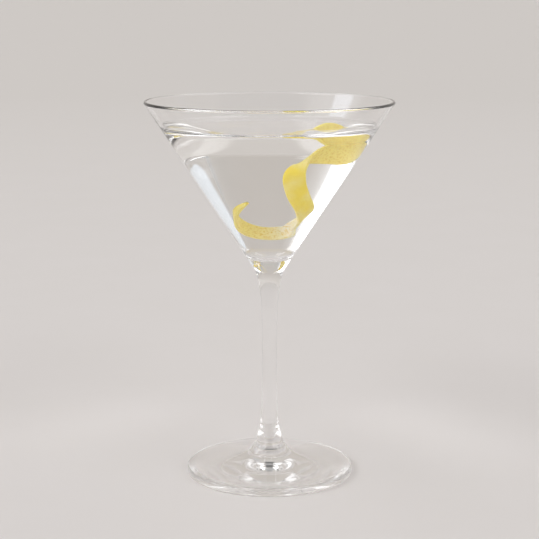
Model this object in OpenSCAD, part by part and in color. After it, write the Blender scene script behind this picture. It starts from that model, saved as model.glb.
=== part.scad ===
// A stemmed cocktail glass, filled with a clear drink, with a lemon twist sunk in it.
// Units are millimetres. The origin is the bottom centre of the foot and +Z is up.
// The glass is one revolve. The drink fills its bowl up to the level and is cut round the twist.

/* [Glass] */
// Height from the table to the rim
total_h = 162; // [155:1:210]
// Diameter across the outside of the rim
rim_d = 105.5; // [90:0.5:130]
// Angle between the wall of the bowl and the upright axis
bowl_angle = 33.2; // [28:0.2:38]
// Thickness of the bowl's wall
wall_t = 1.5; // [1.2:0.1:2.5]
// Radius of the rounded floor inside the bowl
floor_r = 15; // [8:0.5:20]
// Softness of the bend where the bowl runs into the stem
neck_soft = 1.2; // [0.5:0.1:3]

/* [Stem] */
// Diameter of the stem where it is thinnest
stem_d = 6.5; // [5:0.1:12]
// How far the stem widens towards the bowl
neck_flare = 2.8; // [1:0.1:4]
// Length over which the stem widens towards the bowl
neck_flare_h = 36; // [20:1:50]
// How far the stem widens where it lands on the foot
base_flare = 6.2; // [3:0.1:8]
// Height over which the widening at the foot dies away
base_flare_h = 6; // [4:0.1:8]
// Height of the faint ring where stem and foot were joined
ring_h = 17.2; // [14:0.1:22]
// How far that ring stands proud
ring_out = 0.3; // [0:0.05:0.6]

/* [Foot] */
// Diameter of the foot
foot_d = 72; // [60:1:90]
// Thickness of the foot at its edge
foot_edge_t = 3.3; // [2.4:0.1:4.5]
// Radius of the rounded corners of that edge
foot_corner_r = 0.9; // [0.4:0.1:1.2]
// Slope of the foot's upper face, in degrees
foot_slope = 11; // [8:0.5:18]
// Depth of the hollow under the foot
foot_hollow = 1.6; // [0.4:0.1:2.5]
// Width of the flat ring that the foot stands on
rest_ring_w = 3; // [2:0.5:5]

/* [Drink] */
// Distance from the rim down to the surface of the drink
fill_gap = 11; // [6:1:25]

/* [Lemon twist] */
// Width of the strip of peel at its widest
twist_w = 9; // [5:0.5:10]
// Thickness of the peel, zest and pith together
twist_t = 1.3; // [1:0.1:2]
// How far the strip bulges outwards across its width
twist_cup = 0.5; // [0:0.1:1]

/* [Hidden] */
$fn = 96;

rim_r = rim_d / 2;
stem_r = stem_d / 2;
foot_r = foot_d / 2;
lip_r = wall_t / 2;
// Centre of the rounded lip, in the middle of the wall
lip_centre_r = rim_r - lip_r;
lip_h = total_h - lip_r;
// Width of the wall measured level, across the slanted bowl
wall_level_w = wall_t / cos(bowl_angle);
level_h = total_h - fill_gap;

// Where the inner cone would close to a point, and the ball that rounds its floor
inner_tip_h = lip_h - (lip_centre_r - wall_level_w / 2) / tan(bowl_angle);
floor_centre_h = inner_tip_h + floor_r / sin(bowl_angle);
floor_h = floor_centre_h - floor_r;

// The ring under the foot
rest_out_r = foot_r - foot_corner_r;
rest_in_r = rest_out_r - rest_ring_w;
// Height span of the faint ring, softness of the bend onto the foot
ring_span = 1.8;
foot_soft = 1.5;
// Steps along each stretch of the outline
base_step = 0.5;
stem_steps = 24;
neck_step = 1;
arc_steps = 8;
corner_steps = 4;
hollow_steps = 8;
floor_steps = 16;
// Heights that part the stretches of the outline
base_top_h = 24;
neck_bottom_h = inner_tip_h - 3;
cone_start_h = floor_h + 6;

// The larger of two values, with a soft bend where they cross
function soft_max(a, b, soft) = (a + b + sqrt((a - b) * (a - b) + soft * soft)) / 2;

// Radii of the bowl, the stem and the foot at a height
function bowl_mid_r(z) = lip_centre_r - (lip_h - z) * tan(bowl_angle);
function bowl_out_r(z) = bowl_mid_r(z) + wall_level_w / 2;
function bowl_in_r(z) = bowl_mid_r(z) - wall_level_w / 2;
function stem_top_flare(z) = neck_flare * pow(max(0, 1 - (inner_tip_h + 9 - z) / neck_flare_h), 3);
function stem_base_flare(z) = base_flare * exp(-(z - ring_h / 2) / base_flare_h);
function stem_ring(z) = ring_out * exp(-pow((z - ring_h) / ring_span, 2));
function stem_out_r(z) = stem_r + stem_top_flare(z) + stem_base_flare(z) + stem_ring(z);
function foot_top_r(z) = rest_out_r - (z - foot_edge_t) / tan(foot_slope);
function base_out_r(z) = min(rest_out_r, soft_max(foot_top_r(z), stem_out_r(z), foot_soft));
function neck_out_r(z) = soft_max(bowl_out_r(z), stem_out_r(z), neck_soft);

// Outline of the glass, from under the foot, up the outside, over the rim and down the inside
function hollow_points() = [
    for (i = [0 : hollow_steps])
        let (r = rest_in_r * i / hollow_steps)
        [r, foot_hollow * (1 - pow(r / rest_in_r, 2))]
];
function corner_points(start, centre_h) = [
    for (i = [0 : corner_steps])
        let (a = start + 90 * i / corner_steps)
        [rest_out_r + foot_corner_r * cos(a), centre_h + foot_corner_r * sin(a)]
];
function edge_points() = concat(corner_points(-90, foot_corner_r), corner_points(0, foot_edge_t - foot_corner_r));
function base_points() = [
    for (z = [foot_edge_t + base_step / 2 : base_step : base_top_h]) [base_out_r(z), z]
];
function stem_points() = [
    for (i = [1 : stem_steps])
        let (z = base_top_h + (neck_bottom_h - base_top_h) * i / stem_steps)
        [stem_out_r(z), z]
];
function neck_points() = [
    for (z = [neck_bottom_h + neck_step : neck_step : cone_start_h]) [neck_out_r(z), z]
];
function lip_points() = [
    for (i = [0 : arc_steps])
        let (a = -bowl_angle + 180 * i / arc_steps)
        [lip_centre_r + lip_r * cos(a), lip_h + lip_r * sin(a)]
];
function floor_points(step_count) = [
    for (i = [0 : step_count])
        let (a = -bowl_angle - (90 - bowl_angle) * i / step_count)
        [floor_r * cos(a), floor_centre_h + floor_r * sin(a)]
];

module glass() {
    color([0.86, 0.89, 0.9, 0.35])
    rotate_extrude()
    polygon(concat(hollow_points(), edge_points(), base_points(), stem_points(), neck_points(),
        lip_points(), floor_points(floor_steps)));
}

// The strip of peel follows a few hand-set stations, from its low pointed tip up to its broad end.
// Each is [turn round the axis, share of the bowl's radius there, share of the drink's depth,
// direction that the zest faces, upward tilt of the zest, share of the full width].
// The coil turns clockwise seen from above, so the turns and directions go down.
twist_path = [
    [-130, 0.44, 0.510, 235, 0, 0.12],
    [-162, 0.47, 0.440, 200, 0, 0.40],
    [-203, 0.48, 0.345, 145, 0, 0.56],
    [-251, 0.52, 0.270, 105, 0, 0.68],
    [-292, 0.54, 0.270, 70, 0, 0.70],
    [-326, 0.40, 0.330, 30, 0, 0.50],
    [-374, 0.515, 0.425, -60, 0, 0.78],
    [-402, 0.56, 0.515, -65, 0, 0.90],
    [-416, 0.55, 0.620, -85, 0, 0.92],
    [-421, 0.53, 0.730, -95, 0, 0.92],
    [-413, 0.47, 0.820, -120, 20, 0.72],
    [-394, 0.40, 0.885, -180, 40, 0.74],
    [-373, 0.44, 0.920, -245, 20, 0.98],
    [-362, 0.57, 0.930, -270, 0, 1.30],
    [-359, 0.69, 0.925, -272, 0, 1.18],
    [-356, 0.79, 0.910, -275, 0, 0.70]
];
span_steps = 4;
last_span = len(twist_path) - 2;
// Short step along a span, to find which way the strip runs
near_step = 0.02;

// A smooth curve through the stations
function spline(a, b, c, d, t) =
    b + t / 2 * (c - a + t * (2 * a - 5 * b + 4 * c - d + t * (3 * (b - c) + d - a)));
function station(i) = twist_path[min(max(i, 0), last_span + 1)];
function along(i, t) = spline(station(i - 1), station(i), station(i + 1), station(i + 2), t);
function place(s) =
    let (z = floor_h + s[2] * (level_h - floor_h), r = s[1] * bowl_in_r(z))
    [r * cos(s[0]), r * sin(s[0]), z];
function unit(v) = v / norm(v);

// One ring of the strip's outline: two edges and a bulging middle, outside and inside
function twist_ring(i, t) =
    let (
        s = along(i, t),
        ahead = unit(place(along(i, t + near_step)) - place(along(i, t - near_step))),
        face = [cos(s[3]) * cos(s[4]), sin(s[3]) * cos(s[4]), sin(s[4])],
        out = unit(face - (face * ahead) * ahead),
        across = cross(ahead, out),
        half_w = s[5] * twist_w / 2,
        half_t = twist_t / 2,
        cup = twist_cup * s[5]
    )
    [
        for (p = [[-half_w, -half_t], [0, cup - half_t], [half_w, -half_t],
                  [half_w, half_t], [0, cup + half_t], [-half_w, half_t]])
            place(s) + p[0] * across + p[1] * out
    ];
ring_size = 6;
twist_rings = [
    for (i = [0 : last_span])
        for (k = [0 : span_steps - (i == last_span ? 0 : 1)]) twist_ring(i, k / span_steps)
];
function ring_faces(row) = [
    for (k = [0 : ring_size - 1])
        let (a = row * ring_size + k, b = row * ring_size + (k + 1) % ring_size)
        each [[b, a + ring_size, a], [b + ring_size, a + ring_size, b]]
];

module twist_solid() {
    ring_count = len(twist_rings);
    end_ring = (ring_count - 1) * ring_size;
    polyhedron(
        points = [for (ring = twist_rings) each ring],
        faces = concat(
            [[5, 1, 0], [5, 4, 1], [4, 2, 1], [4, 3, 2]],
            [for (row = [0 : ring_count - 2]) each ring_faces(row)],
            [for (f = [[0, 1, 5], [1, 4, 5], [1, 2, 4], [2, 3, 4]]) [for (k = f) end_ring + k]]
        ),
        convexity = 6
    );
}

module drink() {
    color([0.93, 0.94, 0.92, 0.4])
    difference() {
        rotate_extrude()
        polygon(concat([[0, level_h], [bowl_in_r(level_h), level_h]], floor_points(floor_steps)));
        twist_solid();
    }
}

module lemon_twist() {
    color([0.93, 0.82, 0.38])
    twist_solid();
}

glass();
drink();
lemon_twist();
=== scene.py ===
"""Looks, light and camera of a martini: a stemmed cocktail glass, its clear drink and a coiled lemon twist.

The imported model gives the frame, and each piece here is built round it. Places in the scene are in metres.
A piece's own sizes, and names that end in _mm, are in millimetres, and MM turns them to metres. The glass and
the drink are turned on the z axis, and the twist is a ribbon that runs through stations inside the bowl.
"""

import sys
import logging
import math
from dataclasses import dataclass, field

import bpy
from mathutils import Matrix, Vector


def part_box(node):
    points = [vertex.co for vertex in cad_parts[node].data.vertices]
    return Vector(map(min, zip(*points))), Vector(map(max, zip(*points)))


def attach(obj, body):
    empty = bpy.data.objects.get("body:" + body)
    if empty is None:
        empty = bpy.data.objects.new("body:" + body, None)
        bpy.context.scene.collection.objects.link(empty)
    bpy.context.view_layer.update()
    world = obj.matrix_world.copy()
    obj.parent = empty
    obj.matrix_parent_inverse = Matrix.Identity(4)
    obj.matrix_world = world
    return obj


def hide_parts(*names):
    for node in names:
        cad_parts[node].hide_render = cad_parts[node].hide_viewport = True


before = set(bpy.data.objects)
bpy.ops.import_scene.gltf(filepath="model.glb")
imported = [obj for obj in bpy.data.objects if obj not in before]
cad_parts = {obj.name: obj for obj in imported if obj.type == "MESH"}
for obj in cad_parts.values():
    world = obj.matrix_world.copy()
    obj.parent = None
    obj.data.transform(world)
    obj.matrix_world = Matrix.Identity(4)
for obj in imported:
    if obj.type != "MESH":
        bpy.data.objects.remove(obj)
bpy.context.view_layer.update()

MM = 0.001
ROOT = "root"

# Points nearer than this are one point, on an outline and on the mesh turned from it
SAME_POINT_MM = 1e-6
WELD_MM = 0.0005
# The ring that an outline is swept round, whose radius is first taken off its distances from the axis
LATHE_RING_R = 1.0
# Glands tried on a square metre of zest, more than their spacing lets stay
MOST_GLANDS = 6.0e6

LOG = logging.getLogger("martini")

Colour = tuple[float, float, float, float]


# ---------------------------------------------------------------- colours and nodes


def linear(hex_colour: str, alpha: float = 1.0) -> Colour:
    """Turns an sRGB colour to the linear one that a shader takes.

    Args:
        hex_colour: the colour as "#rrggbb".
        alpha: the fourth value of the result.

    Returns:
        Linear red, green and blue from 0 to 1, and alpha.
    """
    digits = hex_colour.lstrip("#")
    values = [int(digits[i : i + 2], 16) / 255 for i in (0, 2, 4)]
    turned = [v / 12.92 if v <= 0.04045 else ((v + 0.055) / 1.055) ** 2.4 for v in values]
    return (turned[0], turned[1], turned[2], alpha)


def add_node(
    tree: bpy.types.NodeTree, kind: str, settings: dict[str, object] | None = None, **links: object
) -> bpy.types.Node:
    """Adds a node to a tree, sets it up and links its inputs.

    Args:
        tree: the node tree that gets the node.
        kind: the node's bl_idname.
        settings: property names and values.
        links: input names, with _ for a space, and the output socket or plain value that each takes. A name
            of "n" and a number is the input at that place.

    Returns:
        The new node.
    """
    node = tree.nodes.new(kind)
    for name, value in (settings or {}).items():
        setattr(node, name, value)
    for name, value in links.items():
        by_place = name[0] == "n" and name[1:].isdigit()
        socket = node.inputs[int(name[1:])] if by_place else node.inputs[name.replace("_", " ")]
        if isinstance(value, bpy.types.NodeSocket):
            tree.links.new(value, socket)
        else:
            socket.default_value = value
    return node


def mix_colours(
    tree: bpy.types.NodeTree,
    amount: bpy.types.NodeSocket,
    low: bpy.types.NodeSocket | Colour,
    high: bpy.types.NodeSocket | Colour,
) -> bpy.types.NodeSocket:
    """Adds a mix of two colours to a shader's tree.

    Args:
        tree: the node tree that gets the mix.
        amount: where the share of the second colour comes from.
        low: the first colour, as a socket or as linear red, green, blue and alpha.
        high: the second colour, likewise.

    Returns:
        The mixed colour's socket.
    """
    return add_node(tree, "ShaderNodeMix", {"data_type": "RGBA"}, Factor=amount, n6=low, n7=high).outputs[2]


def new_material(name: str) -> tuple[bpy.types.Material, bpy.types.NodeTree, bpy.types.Node]:
    """Makes a material with only a Principled shader and its output.

    Args:
        name: the material's name.

    Returns:
        The material, its node tree and the shader node.
    """
    material = bpy.data.materials.new(name)
    material.use_nodes = True
    tree = material.node_tree
    tree.nodes.clear()
    shader = add_node(tree, "ShaderNodeBsdfPrincipled")
    add_node(tree, "ShaderNodeOutputMaterial", Surface=shader.outputs["BSDF"])
    return material, tree, shader


# ---------------------------------------------------------------- finishes


@dataclass(frozen=True)
class ClearMedium:
    """A surface between two clear things, colourless, which bends light by the step between them."""

    name: str
    ior: float
    tint: str = "#ffffff"
    roughness: float = 0.0

    def material(self) -> bpy.types.Material:
        """Makes the surface's material, clear all through.

        Returns:
            The material.
        """
        material, _, shader = new_material(self.name)
        shader.inputs["Base Color"].default_value = linear(self.tint)
        shader.inputs["Roughness"].default_value = self.roughness
        shader.inputs["IOR"].default_value = self.ior
        shader.inputs["Transmission Weight"].default_value = 1.0
        return material


GLASS_IOR = 1.52
DRINK_IOR = 1.36
# Light runs a long way inside the foot and the lip before it leaves, and real glass soaks up a little of it on
# the way. No material here does, so light that has turned back more often than this stops, which stands in for
# that and draws thin dark lines along the edges.
GLASS_BOUNCES = 36

# Drawn, fire-polished soda-lime glass in air: colourless, with sharp white reflections and dark edge lines.
FIRE_POLISHED_GLASS = ClearMedium("glass_fire_polished", GLASS_IOR)
# The same glass where the drink wets it: the step to the drink is small, so this wall nearly vanishes.
WETTED_GLASS = ClearMedium("glass_wetted_by_drink", GLASS_IOR / DRINK_IOR)
# Gin and vermouth, stirred cold: clear as water, with a mirror on the underside of its surface.
STIRRED_DRINK = ClearMedium("drink_open_surface", DRINK_IOR)
# The drink's side, sunk into the wall: glass on both sides, so it bends nothing and isn't seen.
SUNK_DRINK = ClearMedium("drink_inside_wall", 1.0)


@dataclass(frozen=True)
class LemonPeel:
    """Fresh lemon peel, pared thin: waxy pitted yellow zest, whose warmth shows through the pith inside.

    Where the knife went deeper the pith is thick and cream white. The attribute "pith" says how thick it is.
    """

    name: str = "lemon_peel_pared"
    zest: str = "#fce65a"
    zest_light: str = "#fdf09c"
    gland: str = "#e9c845"
    pith: str = "#fceb8c"
    pith_light: str = "#fffbec"
    pith_fleck: str = "#eed472"
    fleck_mm: float = 0.6
    cloud_mm: float = 9.0
    # Where the patterns begin and end to take their second colour, from 0 to 1
    fleck_from: float = 0.48
    fleck_to: float = 0.66
    cloud_from: float = 0.35
    cloud_to: float = 0.65
    grain_mm: float = 0.1
    grain_strength: float = 0.35
    roughness: float = 0.38
    ior: float = 1.3
    # How much light goes into the peel, and how far red, green and blue spread there
    glow: float = 0.25
    glow_mm: float = 0.8
    glow_spread: tuple[float, float, float] = (1.0, 0.8, 0.3)

    def material(self) -> bpy.types.Material:
        """Makes the peel's material, from its attributes for side, oil glands and thick pith.

        Returns:
            The material.
        """
        material, tree, shader = new_material(self.name)
        place = add_node(tree, "ShaderNodeTexCoord").outputs["Object"]
        rind, gland, thick = (add_node(tree, "ShaderNodeAttribute", {"attribute_name": name}).outputs["Fac"]
                              for name in ("rind", "gland", "pith"))
        cloud = add_node(tree, "ShaderNodeTexNoise", Vector=place, Scale=1 / (self.cloud_mm * MM), Detail=2.0)
        fleck = add_node(tree, "ShaderNodeTexNoise", Vector=place, Scale=1 / (self.fleck_mm * MM), Detail=3.0)
        cloudy = add_node(tree, "ShaderNodeMapRange", Value=cloud.outputs["Fac"], From_Min=self.cloud_from,
                          From_Max=self.cloud_to)
        flecked = add_node(tree, "ShaderNodeMapRange", Value=fleck.outputs["Fac"], From_Min=self.fleck_from,
                           From_Max=self.fleck_to)
        zest = mix_colours(tree, cloudy.outputs["Result"], linear(self.zest), linear(self.zest_light))
        zest = mix_colours(tree, gland, zest, linear(self.gland))
        pith = mix_colours(tree, thick, linear(self.pith), linear(self.pith_light))
        pith = mix_colours(tree, flecked.outputs["Result"], pith, linear(self.pith_fleck))
        tree.links.new(mix_colours(tree, rind, pith, zest), shader.inputs["Base Color"])
        grain = add_node(tree, "ShaderNodeBump", Height=fleck.outputs["Fac"], Strength=self.grain_strength,
                         Distance=self.grain_mm * MM)
        tree.links.new(grain.outputs["Normal"], shader.inputs["Normal"])
        shader.inputs["Roughness"].default_value = self.roughness
        shader.inputs["IOR"].default_value = self.ior
        shader.inputs["Subsurface Weight"].default_value = self.glow
        shader.inputs["Subsurface Radius"].default_value = self.glow_spread
        shader.inputs["Subsurface Scale"].default_value = self.glow_mm * MM
        return material


@dataclass(frozen=True)
class PaperSweep:
    """Matt seamless backdrop paper, which the glass stands on: pale grey with no shine, with painted shade
    that darkens it far behind to stand in for the light falling off.
    """

    name: str = "backdrop_paper"
    colour: str = "#e1dddc"
    fibre: str = "#dedad8"
    # painted shade: the colour the paper is darkened to far behind the glass, standing in for the light
    # falling off
    far: str = "#d7d3d0"
    # Where the painted falloff shade starts behind the glass, and where it is full, in metres
    falloff_from: float = 0.0
    falloff_to: float = 2.2
    fibre_mm: float = 60.0
    roughness: float = 0.95
    shine: float = 0.1

    def material(self) -> bpy.types.Material:
        """Makes the paper's material, a little cloudy, with painted shade that darkens it far behind for the
        light's falloff.

        Returns:
            The material.
        """
        material, tree, shader = new_material(self.name)
        place = add_node(tree, "ShaderNodeTexCoord").outputs["Object"]
        cloud = add_node(tree, "ShaderNodeTexNoise", Vector=place, Scale=1 / (self.fibre_mm * MM), Detail=2.0)
        tone = mix_colours(tree, cloud.outputs["Fac"], linear(self.colour), linear(self.fibre))
        parts = add_node(tree, "ShaderNodeSeparateXYZ", Vector=place)
        # painted shade: the paper is mixed towards the far colour with distance behind the glass, for the
        # light's falloff
        behind = add_node(tree, "ShaderNodeMapRange", Value=parts.outputs["Y"], From_Min=self.falloff_from,
                          From_Max=self.falloff_to)
        falloff_painted = mix_colours(tree, behind.outputs["Result"], tone, linear(self.far))
        tree.links.new(falloff_painted, shader.inputs["Base Color"])
        shader.inputs["Roughness"].default_value = self.roughness
        shader.inputs["Specular IOR Level"].default_value = self.shine
        return material


# ---------------------------------------------------------------- geometry trees


def new_tree(name: str, inputs: dict[str, str]) -> tuple[bpy.types.NodeTree, bpy.types.Node]:
    """Starts a geometry tree with one geometry in and one out.

    Args:
        name: the tree's name.
        inputs: names of further inputs and their socket types.

    Returns:
        The tree and its input node.
    """
    tree = bpy.data.node_groups.new(name, "GeometryNodeTree")
    tree.interface.new_socket("Geometry", in_out="INPUT", socket_type="NodeSocketGeometry")
    for label, kind in inputs.items():
        tree.interface.new_socket(label, in_out="INPUT", socket_type=kind)
    tree.interface.new_socket("Geometry", in_out="OUTPUT", socket_type="NodeSocketGeometry")
    return tree, add_node(tree, "NodeGroupInput")


def lathe_tree() -> bpy.types.NodeTree:
    """Makes the tree that turns an x-z outline round the z axis, with a second finish where it is marked.

    Returns:
        A geometry tree with inputs Segments, Weld Distance, Finish and Marked Finish.
    """
    tree, given = new_tree("turn_on_lathe", {
        "Segments": "NodeSocketInt", "Weld Distance": "NodeSocketFloat",
        "Finish": "NodeSocketMaterial", "Marked Finish": "NodeSocketMaterial",
    })
    place = add_node(tree, "GeometryNodeInputPosition")
    parts = add_node(tree, "ShaderNodeSeparateXYZ", Vector=place.outputs[0])
    out = add_node(tree, "ShaderNodeMath", {"operation": "SUBTRACT"}, n0=parts.outputs["X"], n1=LATHE_RING_R)
    down = add_node(tree, "ShaderNodeMath", {"operation": "MULTIPLY"}, n0=parts.outputs["Z"], n1=-1.0)
    section = add_node(tree, "ShaderNodeCombineXYZ", X=out.outputs[0], Y=down.outputs[0])
    laid = add_node(tree, "GeometryNodeSetPosition", Geometry=given.outputs["Geometry"],
                    Position=section.outputs[0])
    profile = add_node(tree, "GeometryNodeMeshToCurve", Mesh=laid.outputs[0])
    ring = add_node(tree, "GeometryNodeCurvePrimitiveCircle", Resolution=given.outputs["Segments"],
                    n4=LATHE_RING_R)
    turned = add_node(tree, "GeometryNodeCurveToMesh", Curve=ring.outputs["Curve"],
                      Profile_Curve=profile.outputs[0])
    welded = add_node(tree, "GeometryNodeMergeByDistance", Geometry=turned.outputs[0],
                      Distance=given.outputs["Weld Distance"])
    smooth = add_node(tree, "GeometryNodeSetShadeSmooth", Geometry=welded.outputs[0])
    whole = add_node(tree, "GeometryNodeRealizeInstances", Geometry=smooth.outputs[0])
    finished = add_node(tree, "GeometryNodeSetMaterial", Geometry=whole.outputs[0],
                        Material=given.outputs["Finish"])
    marked = add_node(tree, "GeometryNodeInputNamedAttribute", {"data_type": "BOOLEAN"}, Name="marked")
    second = add_node(tree, "GeometryNodeSetMaterial", Geometry=finished.outputs[0],
                      Selection=marked.outputs["Attribute"], Material=given.outputs["Marked Finish"])
    add_node(tree, "NodeGroupOutput", Geometry=second.outputs[0])
    return tree


def gland_tree() -> bpy.types.NodeTree:
    """Makes the tree that pits a peel's zest side with its oil glands and stores where they are.

    Returns:
        A geometry tree with inputs Gland Spacing, Gland Radius, Gland Depth, Seed and Finish.
    """
    tree, given = new_tree("pit_with_glands", {
        "Gland Spacing": "NodeSocketFloat", "Gland Radius": "NodeSocketFloat",
        "Gland Depth": "NodeSocketFloat", "Seed": "NodeSocketInt", "Finish": "NodeSocketMaterial",
    })
    rind = add_node(tree, "GeometryNodeInputNamedAttribute", {"data_type": "FLOAT"}, Name="rind")
    zest_side = add_node(tree, "FunctionNodeCompare", {"data_type": "FLOAT", "operation": "GREATER_THAN"},
                         n0=rind.outputs["Attribute"], n1=0.5)
    spread = add_node(tree, "GeometryNodeDistributePointsOnFaces", {"distribute_method": "POISSON"},
                      Mesh=given.outputs["Geometry"], Selection=zest_side.outputs[0],
                      Distance_Min=given.outputs["Gland Spacing"], Density_Max=MOST_GLANDS,
                      Seed=given.outputs["Seed"])
    near = add_node(tree, "GeometryNodeProximity", {"target_element": "POINTS"},
                    Target=spread.outputs["Points"])
    pit = add_node(tree, "ShaderNodeMapRange", {"interpolation_type": "SMOOTHSTEP"},
                   Value=near.outputs["Distance"], From_Max=given.outputs["Gland Radius"], To_Min=1.0,
                   To_Max=0.0)
    masked = add_node(tree, "ShaderNodeMath", {"operation": "MULTIPLY"}, n0=pit.outputs[0],
                      n1=rind.outputs["Attribute"])
    depth = add_node(tree, "ShaderNodeMath", {"operation": "MULTIPLY"}, n0=masked.outputs[0],
                     n1=given.outputs["Gland Depth"])
    normal = add_node(tree, "GeometryNodeInputNormal")
    inward = add_node(tree, "ShaderNodeVectorMath", {"operation": "SCALE"}, Vector=normal.outputs[0],
                      Scale=depth.outputs[0])
    sunk = add_node(tree, "ShaderNodeVectorMath", {"operation": "SCALE"}, Vector=inward.outputs[0],
                    Scale=-1.0)
    kept = add_node(tree, "GeometryNodeStoreNamedAttribute", {"data_type": "FLOAT", "domain": "POINT"},
                    Geometry=given.outputs["Geometry"], Name="gland", Value=masked.outputs[0])
    pitted = add_node(tree, "GeometryNodeSetPosition", Geometry=kept.outputs[0], Offset=sunk.outputs[0])
    smooth = add_node(tree, "GeometryNodeSetShadeSmooth", Geometry=pitted.outputs[0])
    whole = add_node(tree, "GeometryNodeRealizeInstances", Geometry=smooth.outputs[0])
    finished = add_node(tree, "GeometryNodeSetMaterial", Geometry=whole.outputs[0],
                        Material=given.outputs["Finish"])
    add_node(tree, "NodeGroupOutput", Geometry=finished.outputs[0])
    return tree


def run_tree(
    piece: bpy.types.Object, tree: bpy.types.NodeTree, settings: dict[str, object]
) -> bpy.types.Object:
    """Runs a geometry tree on a piece and keeps its result as the piece's plain mesh.

    Args:
        piece: the object whose mesh goes in.
        tree: the geometry tree.
        settings: the tree's input names and their values.

    Returns:
        The same object, with its new mesh and no modifier.
    """
    modifier = piece.modifiers.new("shape", "NODES")
    modifier.node_group = tree
    for item in tree.interface.items_tree:
        if item.item_type == "SOCKET" and item.in_out == "INPUT" and item.name in settings:
            modifier[item.identifier] = settings[item.name]
    bpy.context.view_layer.update()
    graph = bpy.context.evaluated_depsgraph_get()
    shaped = piece.evaluated_get(graph)
    made = bpy.data.meshes.new_from_object(shaped, preserve_all_data_layers=True, depsgraph=graph)
    piece.modifiers.remove(modifier)
    raw = piece.data
    piece.data = made
    made.name = piece.name
    bpy.data.meshes.remove(raw)
    return piece


def new_piece(name: str, points: list, edges: list, faces: list) -> bpy.types.Object:
    """Makes an object from points, edges and faces, and links it to the scene.

    Args:
        name: the object's and mesh's name.
        points: places in metres.
        edges: pairs of point numbers, or none where there are faces.
        faces: rows of point numbers, anticlockwise from outside.

    Returns:
        The new object.
    """
    mesh = bpy.data.meshes.new(name)
    mesh.from_pydata(points, edges, faces)
    mesh.update()
    piece = bpy.data.objects.new(name, mesh)
    bpy.context.scene.collection.objects.link(piece)
    return piece


# ---------------------------------------------------------------- the turned profile


def arc(
    centre: tuple[float, float], radius: float, start: float, end: float, steps: int
) -> list[tuple[float, float]]:
    """Points on an arc in the half plane beside the axis.

    Args:
        centre: the arc's centre, as distance from the axis and height.
        radius: its radius.
        start: its first angle in degrees, from straight out, anticlockwise.
        end: its last angle in degrees.
        steps: how many lines it is made of.

    Returns:
        The points from start to end.
    """
    angles = [math.radians(start + (end - start) * i / steps) for i in range(steps + 1)]
    return [(centre[0] + radius * math.cos(a), centre[1] + radius * math.sin(a)) for a in angles]


def span(low: float, high: float, steps: int) -> list[float]:
    """Evenly spaced values from low to high, both included."""
    return [low + (high - low) * i / steps for i in range(steps + 1)]


@dataclass(frozen=True)
class Profile:
    """The turned shape that the glass and the drink share, in millimetres, with z up from the table."""

    total_h: float = 162.0
    rim_r: float = 52.75
    bowl_angle: float = 33.2
    wall: float = 1.5
    floor_r: float = 15.0
    neck_soft: float = 1.2
    stem_r: float = 3.25
    neck_flare: float = 2.8
    neck_flare_h: float = 36.0
    neck_above_tip: float = 9.0
    base_flare: float = 6.2
    base_flare_h: float = 6.0
    ring_h: float = 17.2
    ring_out: float = 0.3
    ring_span: float = 1.8
    foot_r: float = 36.0
    foot_edge: float = 3.3
    foot_corner: float = 0.9
    foot_slope: float = 11.0
    foot_hollow: float = 1.6
    foot_soft: float = 1.5
    rest_ring: float = 3.0
    fill_gap: float = 11.0

    @property
    def lip_r(self) -> float:
        """Radius of the fire-polished lip."""
        return self.wall / 2

    @property
    def lip_centre_r(self) -> float:
        """How far the lip's middle is from the axis."""
        return self.rim_r - self.lip_r

    @property
    def lip_h(self) -> float:
        """Height of the lip's middle."""
        return self.total_h - self.lip_r

    @property
    def slope(self) -> float:
        """The wall's angle from upright, in radians."""
        return math.radians(self.bowl_angle)

    @property
    def level_width(self) -> float:
        """The wall's thickness measured level."""
        return self.wall / math.cos(self.slope)

    @property
    def level_h(self) -> float:
        """Height of the drink's surface."""
        return self.total_h - self.fill_gap

    @property
    def tip_h(self) -> float:
        """Height where the inner cone would come to its point."""
        return self.lip_h - (self.lip_centre_r - self.level_width / 2) / math.tan(self.slope)

    @property
    def floor_centre_h(self) -> float:
        """Height of the centre of the bowl's round floor."""
        return self.tip_h + self.floor_r / math.sin(self.slope)

    @property
    def floor_h(self) -> float:
        """Height of the lowest point inside the bowl."""
        return self.floor_centre_h - self.floor_r

    def bowl_in_r(self, z: float) -> float:
        """The bowl's inner radius on its cone."""
        return self.lip_centre_r - (self.lip_h - z) * math.tan(self.slope) - self.level_width / 2

    def bowl_out_r(self, z: float) -> float:
        """The bowl's outer radius on its cone."""
        return self.bowl_in_r(z) + self.level_width

    def stem_out_r(self, z: float) -> float:
        """The stem's radius, with its flares into the bowl and the foot and the soft ring above the foot.

        Args:
            z: a height.

        Returns:
            The radius there.
        """
        top = self.neck_flare * max(0.0, 1 - (self.tip_h + self.neck_above_tip - z) / self.neck_flare_h) ** 3
        base = self.base_flare * math.exp(-(z - self.ring_h / 2) / self.base_flare_h)
        ring = self.ring_out * math.exp(-(((z - self.ring_h) / self.ring_span) ** 2))
        return self.stem_r + top + base + ring

    def foot_top_r(self, z: float) -> float:
        """The radius of the foot's top slope."""
        return self.foot_r - self.foot_corner - (z - self.foot_edge) / math.tan(math.radians(self.foot_slope))

    def outside(self, z: float) -> float:
        """The whole outside above the foot's edge: foot slope, stem and bowl run into each other softly.

        Args:
            z: a height.

        Returns:
            The radius there.
        """
        low = soft_max(self.foot_top_r(z), self.stem_out_r(z), self.foot_soft)
        high = soft_max(self.bowl_out_r(z), self.stem_out_r(z), self.neck_soft)
        return min(self.foot_r - self.foot_corner, low) if z < self.total_h / 3 else high


def soft_max(a: float, b: float, soft: float) -> float:
    """The larger of two values, with a rounded change from one to the other."""
    return (a + b + math.sqrt((a - b) ** 2 + soft**2)) / 2


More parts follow.
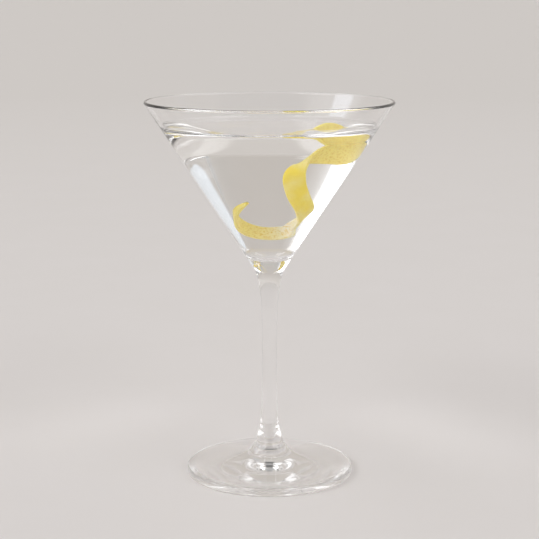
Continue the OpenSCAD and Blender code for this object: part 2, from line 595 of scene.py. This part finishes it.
@dataclass
class Outline:
    """A line of points beside the axis, in millimetres, each marked or not for the lathe's second finish."""

    points: list[tuple[float, float]] = field(default_factory=list)
    marked: list[bool] = field(default_factory=list)

    def add(self, points: list[tuple[float, float]], marked: bool = False) -> None:
        """Adds points, leaving out one that lies on the last.

        Args:
            points: distances from the axis and heights.
            marked: whether they belong to the second finish.
        """
        for point in points:
            if self.points and math.dist(point, self.points[-1]) < SAME_POINT_MM:
                self.marked[-1] = self.marked[-1] or marked
                continue
            self.points.append(point)
            self.marked.append(marked)

    def turn(self, name: str, tree: bpy.types.NodeTree, finish: ClearMedium, second: ClearMedium,
             segments: int) -> bpy.types.Object:
        """Turns the outline round the axis.

        Args:
            name: the piece's name.
            tree: the lathe tree.
            finish: the finish of the whole piece.
            second: the finish of the marked part.
            segments: how many faces go round.

        Returns:
            The turned piece.
        """
        places = [(max(0.0, r) * MM, 0.0, z * MM) for r, z in self.points]
        piece = new_piece(name, places, [(i, i + 1) for i in range(len(places) - 1)], [])
        mark = piece.data.attributes.new("marked", "BOOLEAN", "POINT")
        mark.data.foreach_set("value", self.marked)
        return run_tree(piece, tree, {
            "Segments": segments, "Weld Distance": WELD_MM * MM,
            "Finish": finish.material(), "Marked Finish": second.material(),
        })


@dataclass
class Meniscus:
    """The drink's edge, which the glass wall draws up, from level to its slope at the wall, in degrees.

    The rise and the distance both follow from the slope, as surface tension and weight give it beside a flat
    wall. The capillary length, in millimetres, is that of spirits and water mixed.
    """

    capillary: float = 1.85
    wall_slope: float = 42.0
    first_slope: float = 0.4
    steps: int = 20

    def points(self) -> list[tuple[float, float]]:
        """The curve from level to the wall.

        Returns:
            Points as distance from the wall, 0 or less, and rise.
        """
        ratio = (self.wall_slope / self.first_slope) ** (1 / self.steps)
        slopes = [math.radians(self.first_slope * ratio**i) for i in range(self.steps + 1)]
        reach = [math.log(math.tan(s / 4)) + 2 * math.cos(s / 2) for s in slopes]
        rise = [2 * self.capillary * math.sin(s / 2) for s in slopes]
        return [(self.capillary * (x - reach[-1]), z) for x, z in zip(reach, rise)]


# ---------------------------------------------------------------- glass and drink


@dataclass
class CocktailGlass:
    """The glass: foot, stem and bowl in one piece, marked inside where the drink wets it."""

    profile: Profile
    meniscus: Meniscus
    segments: int = 200
    # A gap between points where one curve goes over to the next
    near: float = 0.05
    # Where the stretches of the outside end, and how far above the last one's end the next one starts
    edge_span: float = 1.0
    foot_start: float = 0.2
    foot_end_h: float = 24.0
    stem_start: float = 1.0
    stem_below_tip: float = 3.0
    neck_start: float = 0.4
    neck_above_floor: float = 12.0
    # Heights above the bowl's floor of two points on its straight outside
    wall_points: tuple[float, float] = (20.0, 30.0)
    hollow_steps: int = 24
    corner_steps: int = 10
    edge_steps: int = 8
    foot_steps: int = 90
    stem_steps: int = 40
    neck_steps: int = 60
    lip_steps: int = 20
    wet_wall_steps: int = 6
    floor_steps: int = 36

    def outline(self) -> Outline:
        """Draws the glass, from the middle of the bowl's floor, over the lip, to the middle of the underside.

        Returns:
            The outline, marked where the drink wets it.
        """
        p = self.profile
        corner = p.foot_corner
        rest_r = p.foot_r - corner
        hollow_r = rest_r - p.rest_ring
        line = Outline()
        hollow = span(0, hollow_r, self.hollow_steps)
        line.add([(r, p.foot_hollow * (1 - (r / hollow_r) ** 2)) for r in hollow])
        line.add([(r, 0.0) for r in (hollow_r + self.near, rest_r - self.near)])
        line.add(arc((rest_r, corner), corner, -90, 0, self.corner_steps))
        line.add(arc((rest_r, p.foot_edge - corner), corner, 0, 90, self.corner_steps))
        edge_end_h, stem_end_h = p.foot_edge + self.edge_span, p.tip_h - self.stem_below_tip
        for stretch in (
            span(p.foot_edge + self.near, edge_end_h, self.edge_steps),
            span(edge_end_h + self.foot_start, self.foot_end_h, self.foot_steps),
            span(self.foot_end_h + self.stem_start, stem_end_h, self.stem_steps),
            span(stem_end_h + self.neck_start, p.floor_h + self.neck_above_floor, self.neck_steps),
        ):
            line.add([(p.outside(z), z) for z in stretch])
        lip = arc((p.lip_centre_r, p.lip_h), p.lip_r, -p.bowl_angle, 180 - p.bowl_angle, self.lip_steps)
        cone = [p.floor_h + above for above in self.wall_points] + [lip[0][1] - self.near]
        line.add([(p.bowl_out_r(z), z) for z in cone])
        line.add(lip)
        wet_h = p.level_h + self.meniscus.points()[-1][1]
        line.add([(p.bowl_in_r(z), z) for z in (lip[-1][1] - self.near, wet_h + self.near)])
        line.add([(p.bowl_in_r(wet_h), wet_h)], marked=True)
        floor = arc((0.0, p.floor_centre_h), p.floor_r, -p.bowl_angle, -90, self.floor_steps)
        wet_wall = span(wet_h - self.near, floor[0][1] + self.near, self.wet_wall_steps)
        line.add([(p.bowl_in_r(z), z) for z in wet_wall], marked=True)
        line.add(floor, marked=True)
        line.points.reverse()
        line.marked.reverse()
        return line

    def build(self, lathe: bpy.types.NodeTree) -> bpy.types.Object:
        """Turns the glass and lets it stand for the CAD glass.

        Args:
            lathe: the lathe tree.

        Returns:
            The glass.
        """
        piece = self.outline().turn("cocktail_glass", lathe, FIRE_POLISHED_GLASS, WETTED_GLASS, self.segments)
        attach(piece, ROOT)
        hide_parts("glass")
        return piece


@dataclass
class StirredDrink:
    """The drink: level, drawn up at the wall, and sunk a little into the glass so that no gap shows."""

    profile: Profile
    meniscus: Meniscus
    segments: int = 200
    sink: float = 0.12
    # How far the level surface stops short of the drawn-up edge's first point
    level_end: float = 0.5
    surface_steps: int = 40
    wall_steps: int = 8
    floor_steps: int = 36

    def outline(self) -> Outline:
        """Draws the drink, from the middle of its surface, down the wall, to the middle of the bowl's floor.

        Returns:
            The outline, marked where air lies on it.
        """
        p = self.profile
        climb = self.meniscus.points()
        wet_h = p.level_h + climb[-1][1]
        wall_r = p.bowl_in_r(wet_h)
        out = self.sink / math.cos(p.slope)
        line = Outline()
        level_r = wall_r + climb[0][0] - self.level_end
        line.add([(r, p.level_h) for r in span(0, level_r, self.surface_steps)], marked=True)
        line.add([(wall_r + x, p.level_h + rise) for x, rise in climb], marked=True)
        floor = arc((0.0, p.floor_centre_h), p.floor_r + self.sink, -p.bowl_angle, -90, self.floor_steps)
        line.add([(p.bowl_in_r(z) + out, z) for z in span(wet_h, floor[0][1], self.wall_steps)])
        line.add(floor)
        return line

    def build(self, lathe: bpy.types.NodeTree) -> bpy.types.Object:
        """Turns the drink and lets it stand for the CAD drink.

        Args:
            lathe: the lathe tree.

        Returns:
            The drink.
        """
        piece = self.outline().turn("stirred_drink", lathe, SUNK_DRINK, STIRRED_DRINK, self.segments)
        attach(piece, ROOT)
        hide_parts("drink")
        return piece


# ---------------------------------------------------------------- lemon twist


@dataclass(frozen=True)
class Station:
    """A place the ribbon runs through.

    It has a turn round the bowl, a reach as a share of the bowl's radius there, a rise as a share of the
    drink's depth, the turn and tilt that the zest faces, and a share of the full width. Turns and tilts are
    in degrees.
    """

    turn: float
    reach: float
    rise: float
    faces: float
    tilt: float
    width: float


TWIST_STATIONS = (
    Station(-130, 0.44, 0.510, 235, 0, 0.12),
    Station(-162, 0.47, 0.440, 200, 0, 0.40),
    Station(-203, 0.48, 0.345, 145, 0, 0.56),
    Station(-251, 0.52, 0.270, 105, 0, 0.68),
    Station(-292, 0.54, 0.270, 70, 0, 0.70),
    Station(-326, 0.40, 0.330, 30, 0, 0.50),
    Station(-374, 0.515, 0.425, -60, 0, 0.78),
    Station(-402, 0.56, 0.515, -65, 0, 0.90),
    Station(-416, 0.55, 0.620, -85, 0, 0.92),
    Station(-421, 0.53, 0.730, -95, 0, 0.92),
    Station(-413, 0.47, 0.820, -120, 20, 0.72),
    Station(-394, 0.40, 0.885, -180, 40, 0.74),
    Station(-373, 0.44, 0.920, -245, 20, 0.98),
    Station(-362, 0.57, 0.930, -270, 0, 1.30),
    Station(-359, 0.69, 0.925, -272, 0, 1.18),
    Station(-356, 0.79, 0.910, -275, 0, 0.70),
)


def through(a: float, b: float, c: float, d: float, t: float) -> float:
    """A smooth value between b and c, with a before and d after them, for t from 0 to 1."""
    return b + t / 2 * (c - a + t * (2 * a - 5 * b + 4 * c - d + t * (3 * (b - c) + d - a)))


@dataclass
class LemonTwist:
    """The twist: a ribbon of pared peel with rounded edges, zest pitted with oil glands on its outer side."""

    profile: Profile
    stations: tuple[Station, ...] = TWIST_STATIONS
    width: float = 9.0
    thickness: float = 1.3
    cup: float = 0.5
    edge_r: float = 0.35
    # The most of the half width that a rounded edge takes up, where the ribbon comes to its tip
    edge_share: float = 0.8
    steps_per_station: int = 34
    across_steps: int = 34
    edge_steps: int = 4
    gland_spacing: float = 0.62
    gland_r: float = 0.34
    gland_depth: float = 0.07
    seed: int = 7
    # Where along the stations the pith is thickest, and over how many of them it thins away
    thick_place: float = 4.6
    thick_span: float = 1.1
    # How much zest shows on a rounded edge's lower part, how far up that goes, and how much shows on the ends
    cut_zest: float = 0.45
    cut_lift: float = 0.7
    end_zest: float = 0.3
    # How far ahead and behind, as a share of a station, the ribbon's direction is taken from
    look: float = 0.02

    def at(self, place: float) -> Station:
        """The ribbon's values at a place along it.

        Args:
            place: 0 at the first station, 1 at the second, and so on.

        Returns:
            The values there, in between the stations on smooth curves.
        """
        last = len(self.stations) - 1
        first = min(int(place), last - 1)
        picked = [self.stations[min(max(first + i, 0), last)] for i in (-1, 0, 1, 2)]
        names = ("turn", "reach", "rise", "faces", "tilt", "width")
        return Station(*(through(*(getattr(s, name) for s in picked), place - first) for name in names))

    def middle(self, place: float) -> Vector:
        """The middle of the ribbon.

        Args:
            place: 0 at the first station, 1 at the second, and so on.

        Returns:
            Its place in millimetres.
        """
        s = self.at(place)
        z = self.profile.floor_h + s.rise * (self.profile.level_h - self.profile.floor_h)
        r = s.reach * self.profile.bowl_in_r(z)
        turn = math.radians(s.turn)
        return Vector((r * math.cos(turn), r * math.sin(turn), z))

    def axes(self, place: float) -> tuple[Vector, Vector]:
        """The ribbon's own directions.

        Args:
            place: 0 at the first station, 1 at the second, and so on.

        Returns:
            The directions across the ribbon and out of its zest.
        """
        ahead = (self.middle(place + self.look) - self.middle(place - self.look)).normalized()
        s = self.at(place)
        turn, tilt = math.radians(s.faces), math.radians(s.tilt)
        face = Vector((math.cos(turn) * math.cos(tilt), math.sin(turn) * math.cos(tilt), math.sin(tilt)))
        out = (face - face.dot(ahead) * ahead).normalized()
        return ahead.cross(out), out

    def section(self, width: float) -> list[tuple[float, float, float]]:
        """The ribbon's cross-section at a width.

        Args:
            width: the full width there, in millimetres.

        Returns:
            Points once round, as across, out and share of zest, anticlockwise seen from the end.
        """
        half, thick = width / 2, self.thickness / 2
        edge = min(self.edge_r, half * self.edge_share)
        points = [(side * (half - edge), -thick, 0.0) for side in span(-1, 1, self.across_steps)]
        points += self.rounded_edge(half - edge, edge - thick, edge, -90)
        points += self.rounded_edge(half - edge, thick - edge, edge, 0)
        points += [(side * (half - edge), thick, 1.0) for side in span(1, -1, self.across_steps)]
        points += self.rounded_edge(edge - half, thick - edge, edge, 90)
        points += self.rounded_edge(edge - half, edge - thick, edge, 180)
        return points

    def rounded_edge(
        self, across: float, out: float, radius: float, start: float
    ) -> list[tuple[float, float, float]]:
        """A quarter turn of the cross-section's rounded edge.

        Args:
            across: where its centre is across the ribbon, in millimetres.
            out: where its centre is out of the zest.
            radius: its radius.
            start: the angle in degrees that it starts from. It leaves out both its ends.

        Returns:
            Points as across, out and share of zest, with none of it on the pith's side.
        """
        points = []
        for i in range(self.edge_steps):
            angle = math.radians(start + 90 * (i + 0.5) / self.edge_steps)
            lift = math.sin(angle)
            zest = 0.0 if lift < 0 else self.cut_zest if lift < self.cut_lift else 1.0
            points.append((across + radius * math.cos(angle), out + radius * lift, zest))
        return points

    def build(self, glands: bpy.types.NodeTree) -> bpy.types.Object:
        """Lofts the ribbon, pits its zest and lets it stand for the CAD twist.

        Args:
            glands: the tree that pits the zest.

        Returns:
            The twist.
        """
        rows = (len(self.stations) - 1) * self.steps_per_station
        points, rind, thick = [], [], []
        for i in range(rows + 1):
            place = i / self.steps_per_station
            pith = math.exp(-(((place - self.thick_place) / self.thick_span) ** 2))
            centre = self.middle(place)
            across, out = self.axes(place)
            width = self.width * self.at(place).width
            for side, up, zest in self.section(width):
                cup = self.cup * width / self.width * (1 - min(1.0, (2 * side / width) ** 2))
                points.append((centre + across * side + out * (up + cup)) * MM)
                rind.append(zest)
                thick.append(pith)
        around = len(rind) // (rows + 1)
        faces = []
        for i in range(rows):
            for j in range(around):
                a, b = i * around + j, i * around + (j + 1) % around
                faces.append((a + around, b + around, b, a))
        end_row = rows * around
        first, last = len(points), len(points) + 1
        for row in (0, end_row):
            points.append(sum(points[row : row + around], Vector()) / around)
            rind.append(self.end_zest)
            thick.append(0.0)
        faces += [(first, j, (j + 1) % around) for j in range(around)]
        faces += [(last, end_row + (j + 1) % around, end_row + j) for j in range(around)]
        piece = new_piece("lemon_twist_peel", points, [], faces)
        for label, values in (("rind", rind), ("pith", thick)):
            piece.data.attributes.new(label, "FLOAT", "POINT").data.foreach_set("value", values)
        run_tree(piece, glands, {
            "Gland Spacing": self.gland_spacing * MM, "Gland Radius": self.gland_r * MM,
            "Gland Depth": self.gland_depth * MM, "Seed": self.seed, "Finish": LemonPeel().material(),
        })
        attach(piece, ROOT)
        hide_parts("lemon_twist")
        return piece


# ---------------------------------------------------------------- studio


@dataclass(frozen=True)
class LightPanel:
    """A soft-edged rectangle of light or shade, far off in the room and facing the glass.

    Its turn, rise, width, height and lean are in degrees as seen from the glass, with turn 0 on the right and
    90 behind. Its strength is how bright it is, where 1 shows as plain white, and its edge is how soft its
    border is.
    """

    name: str
    turn: float
    rise: float
    width: float
    height: float
    strength: float
    lean: float = 0.0
    edge: float = 0.08
    colour: str = "#ffffff"
    # A direction that points away from the panel is taken this little towards it, and so lands far off it
    least_depth: float = 0.001

    def axes(self) -> tuple[Vector, Vector, Vector]:
        """The panel's directions.

        Returns:
            Across it, up it and towards it from the glass.
        """
        turn, rise, lean = (math.radians(v) for v in (self.turn, self.rise, self.lean))
        ahead = Vector((math.cos(turn) * math.cos(rise), math.sin(turn) * math.cos(rise), math.sin(rise)))
        level = Vector((math.sin(turn), -math.cos(turn), 0.0))
        upright = level.cross(ahead)
        across = level * math.cos(lean) + upright * math.sin(lean)
        return across, across.cross(ahead), ahead

    def cover(self, tree: bpy.types.NodeTree, direction: bpy.types.NodeSocket) -> bpy.types.NodeSocket:
        """Adds the nodes that say how far a direction lies on the panel.

        Args:
            tree: the world's node tree.
            direction: the direction looked in.

        Returns:
            A value that is 1 on the panel and 0 off it.
        """
        across, up, ahead = self.axes()
        parts = [add_node(tree, "ShaderNodeVectorMath", {"operation": "DOT_PRODUCT"}, n0=direction, n1=axis)
                 for axis in (across, up, ahead)]
        depth = add_node(tree, "ShaderNodeMath", {"operation": "MAXIMUM"}, n0=parts[2].outputs["Value"],
                         n1=self.least_depth)
        cover = None
        for part, angle in ((parts[0], self.width), (parts[1], self.height)):
            half = math.tan(math.radians(angle / 2))
            share = add_node(tree, "ShaderNodeMath", {"operation": "DIVIDE"}, n0=part.outputs["Value"],
                             n1=depth.outputs[0])
            reach = add_node(tree, "ShaderNodeMath", {"operation": "ABSOLUTE"}, n0=share.outputs[0])
            side = add_node(tree, "ShaderNodeMapRange", {"interpolation_type": "SMOOTHSTEP"},
                            Value=reach.outputs[0], From_Min=half + self.edge / 2,
                            From_Max=half - self.edge / 2)
            cover = side if cover is None else add_node(
                tree, "ShaderNodeMath", {"operation": "MULTIPLY"}, n0=cover.outputs[0], n1=side.outputs[0])
        return cover.outputs[0]


@dataclass
class Studio:
    """The pale floor, the room's soft light and the camera."""

    floor_r: float = 40.0
    floor_sides: int = 64
    # The floor lies this much under the foot, so that the two surfaces never meet in one plane
    air_film: float = 0.05 * MM
    camera_place: tuple[float, float, float] = (0.0, -0.61584, 0.20942)
    camera_down: float = 0.192
    lens: float = 97.68
    sensor: float = 36.0
    sight: tuple[float, float] = (0.01, 200.0)
    room_tones: tuple[tuple[float, str], ...] = (
        (0.0, "#d8d2cd"), (0.14, "#cdc7c1"), (0.4, "#c3bcb5"), (0.7, "#c6c1bb"), (1.0, "#dcd8d4"),
    )
    # A panel hides what it covers of those before it
    panels: tuple[LightPanel, ...] = (
        LightPanel("window_glow", 205, 24, 84, 62, 1.35, edge=0.6),
        LightPanel("dim_ceiling", 285, 62, 64, 44, 0.42, edge=0.3),
        LightPanel("dark_ceiling", 90, 70, 26, 22, 0.15, edge=0.12),
        LightPanel("shaded_wall", 42, 42, 34, 14, 0.53, edge=0.1),
        LightPanel("skylight", 176, 67, 26, 15, 2.0, edge=0.12),
        LightPanel("skylight_near", 171, 42, 15, 13, 3.0, edge=0.04, colour="#f2f7ff"),
        LightPanel("window", 210, 38, 52, 17, 3.6, lean=-4, edge=0.1),
        LightPanel("reflector_glow", 340, 12, 60, 36, 1.15, edge=0.3),
        LightPanel("reflector", 320, 33, 44, 16, 2.9, edge=0.1),
        LightPanel("pale_wall", 356, 39, 14, 9, 0.9, edge=0.04, colour="#f6fbff"),
        LightPanel("dark_doorway", 273, 20, 36, 56, 0.30, edge=0.3),
    )

    def floor(self) -> bpy.types.Object:
        """Lays the floor, a round sheet of paper that runs out of sight.

        Returns:
            The floor.
        """
        count = self.floor_sides
        turns = span(0, 2 * math.pi * (count - 1) / count, count - 1)
        rim = [(self.floor_r * math.cos(turn), self.floor_r * math.sin(turn), -self.air_film)
               for turn in turns]
        piece = new_piece("floor_sheet", rim, [], [tuple(range(count))])
        piece.data.materials.append(PaperSweep().material())
        return piece

    def room(self) -> None:
        """Fills the room with soft light: plain warm grey all round, and the panels laid over it in turn."""
        world = bpy.data.worlds.new("studio_room")
        bpy.context.scene.world = world
        world.use_nodes = True
        tree = world.node_tree
        tree.nodes.clear()
        direction = add_node(tree, "ShaderNodeTexCoord").outputs["Generated"]
        parts = add_node(tree, "ShaderNodeSeparateXYZ", Vector=direction)
        ramp = add_node(tree, "ShaderNodeValToRGB", Fac=parts.outputs["Z"])
        for place, _ in self.room_tones[1:-1]:
            ramp.color_ramp.elements.new(place)
        for element, (place, tone) in zip(ramp.color_ramp.elements, self.room_tones):
            element.position = place
            element.color = linear(tone)
        light = ramp.outputs["Color"]
        for panel in self.panels:
            red, green, blue, alpha = linear(panel.colour)
            shine = (red * panel.strength, green * panel.strength, blue * panel.strength, alpha)
            light = mix_colours(tree, panel.cover(tree, direction), light, shine)
        glow = add_node(tree, "ShaderNodeBackground", Color=light, Strength=1.0)
        add_node(tree, "ShaderNodeOutputWorld", Surface=glow.outputs[0])

    def camera(self) -> bpy.types.Object:
        """Sets up the camera, a little above the rim and looking slightly down.

        Returns:
            The camera.
        """
        lens = bpy.data.cameras.new("camera")
        lens.lens = self.lens
        lens.sensor_width = self.sensor
        lens.sensor_fit = "HORIZONTAL"
        lens.clip_start, lens.clip_end = self.sight
        eye = bpy.data.objects.new("camera", lens)
        bpy.context.scene.collection.objects.link(eye)
        eye.location = self.camera_place
        eye.rotation_euler = (math.pi / 2 - self.camera_down, 0.0, 0.0)
        bpy.context.scene.camera = eye
        return eye


class Martini:
    """The whole drink: its glass, what fills it and its garnish, in the order they are put together."""

    def __init__(self) -> None:
        """Takes the shared profile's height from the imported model's glass."""
        _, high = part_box("glass")
        self.profile = Profile(total_h=high.z / MM)
        self.meniscus = Meniscus()

    def build(self) -> list[bpy.types.Object]:
        """Builds the pieces in order and reports each.

        Returns:
            The pieces.
        """
        lathe, glands = lathe_tree(), gland_tree()
        made = [
            CocktailGlass(self.profile, self.meniscus).build(lathe),
            StirredDrink(self.profile, self.meniscus).build(lathe),
            LemonTwist(self.profile).build(glands),
        ]
        for piece in made:
            LOG.info("%s: %d faces, %s", piece.name, len(piece.data.polygons), tuple(piece.dimensions))
        return made


def main() -> None:
    """Builds the martini and its studio."""
    logging.basicConfig(level=logging.INFO, format="%(name)s: %(message)s", stream=sys.stdout)
    studio = Studio()
    studio.camera()
    studio.floor()
    studio.room()
    Martini().build()
    scene = bpy.context.scene
    scene.view_settings.view_transform = "Standard"
    scene.cycles.max_bounces = GLASS_BOUNCES
    scene.cycles.transmission_bounces = GLASS_BOUNCES
    scene.cycles.glossy_bounces = GLASS_BOUNCES
    scene.cycles.blur_glossy = 0.0


if __name__ == "__main__":
    main()
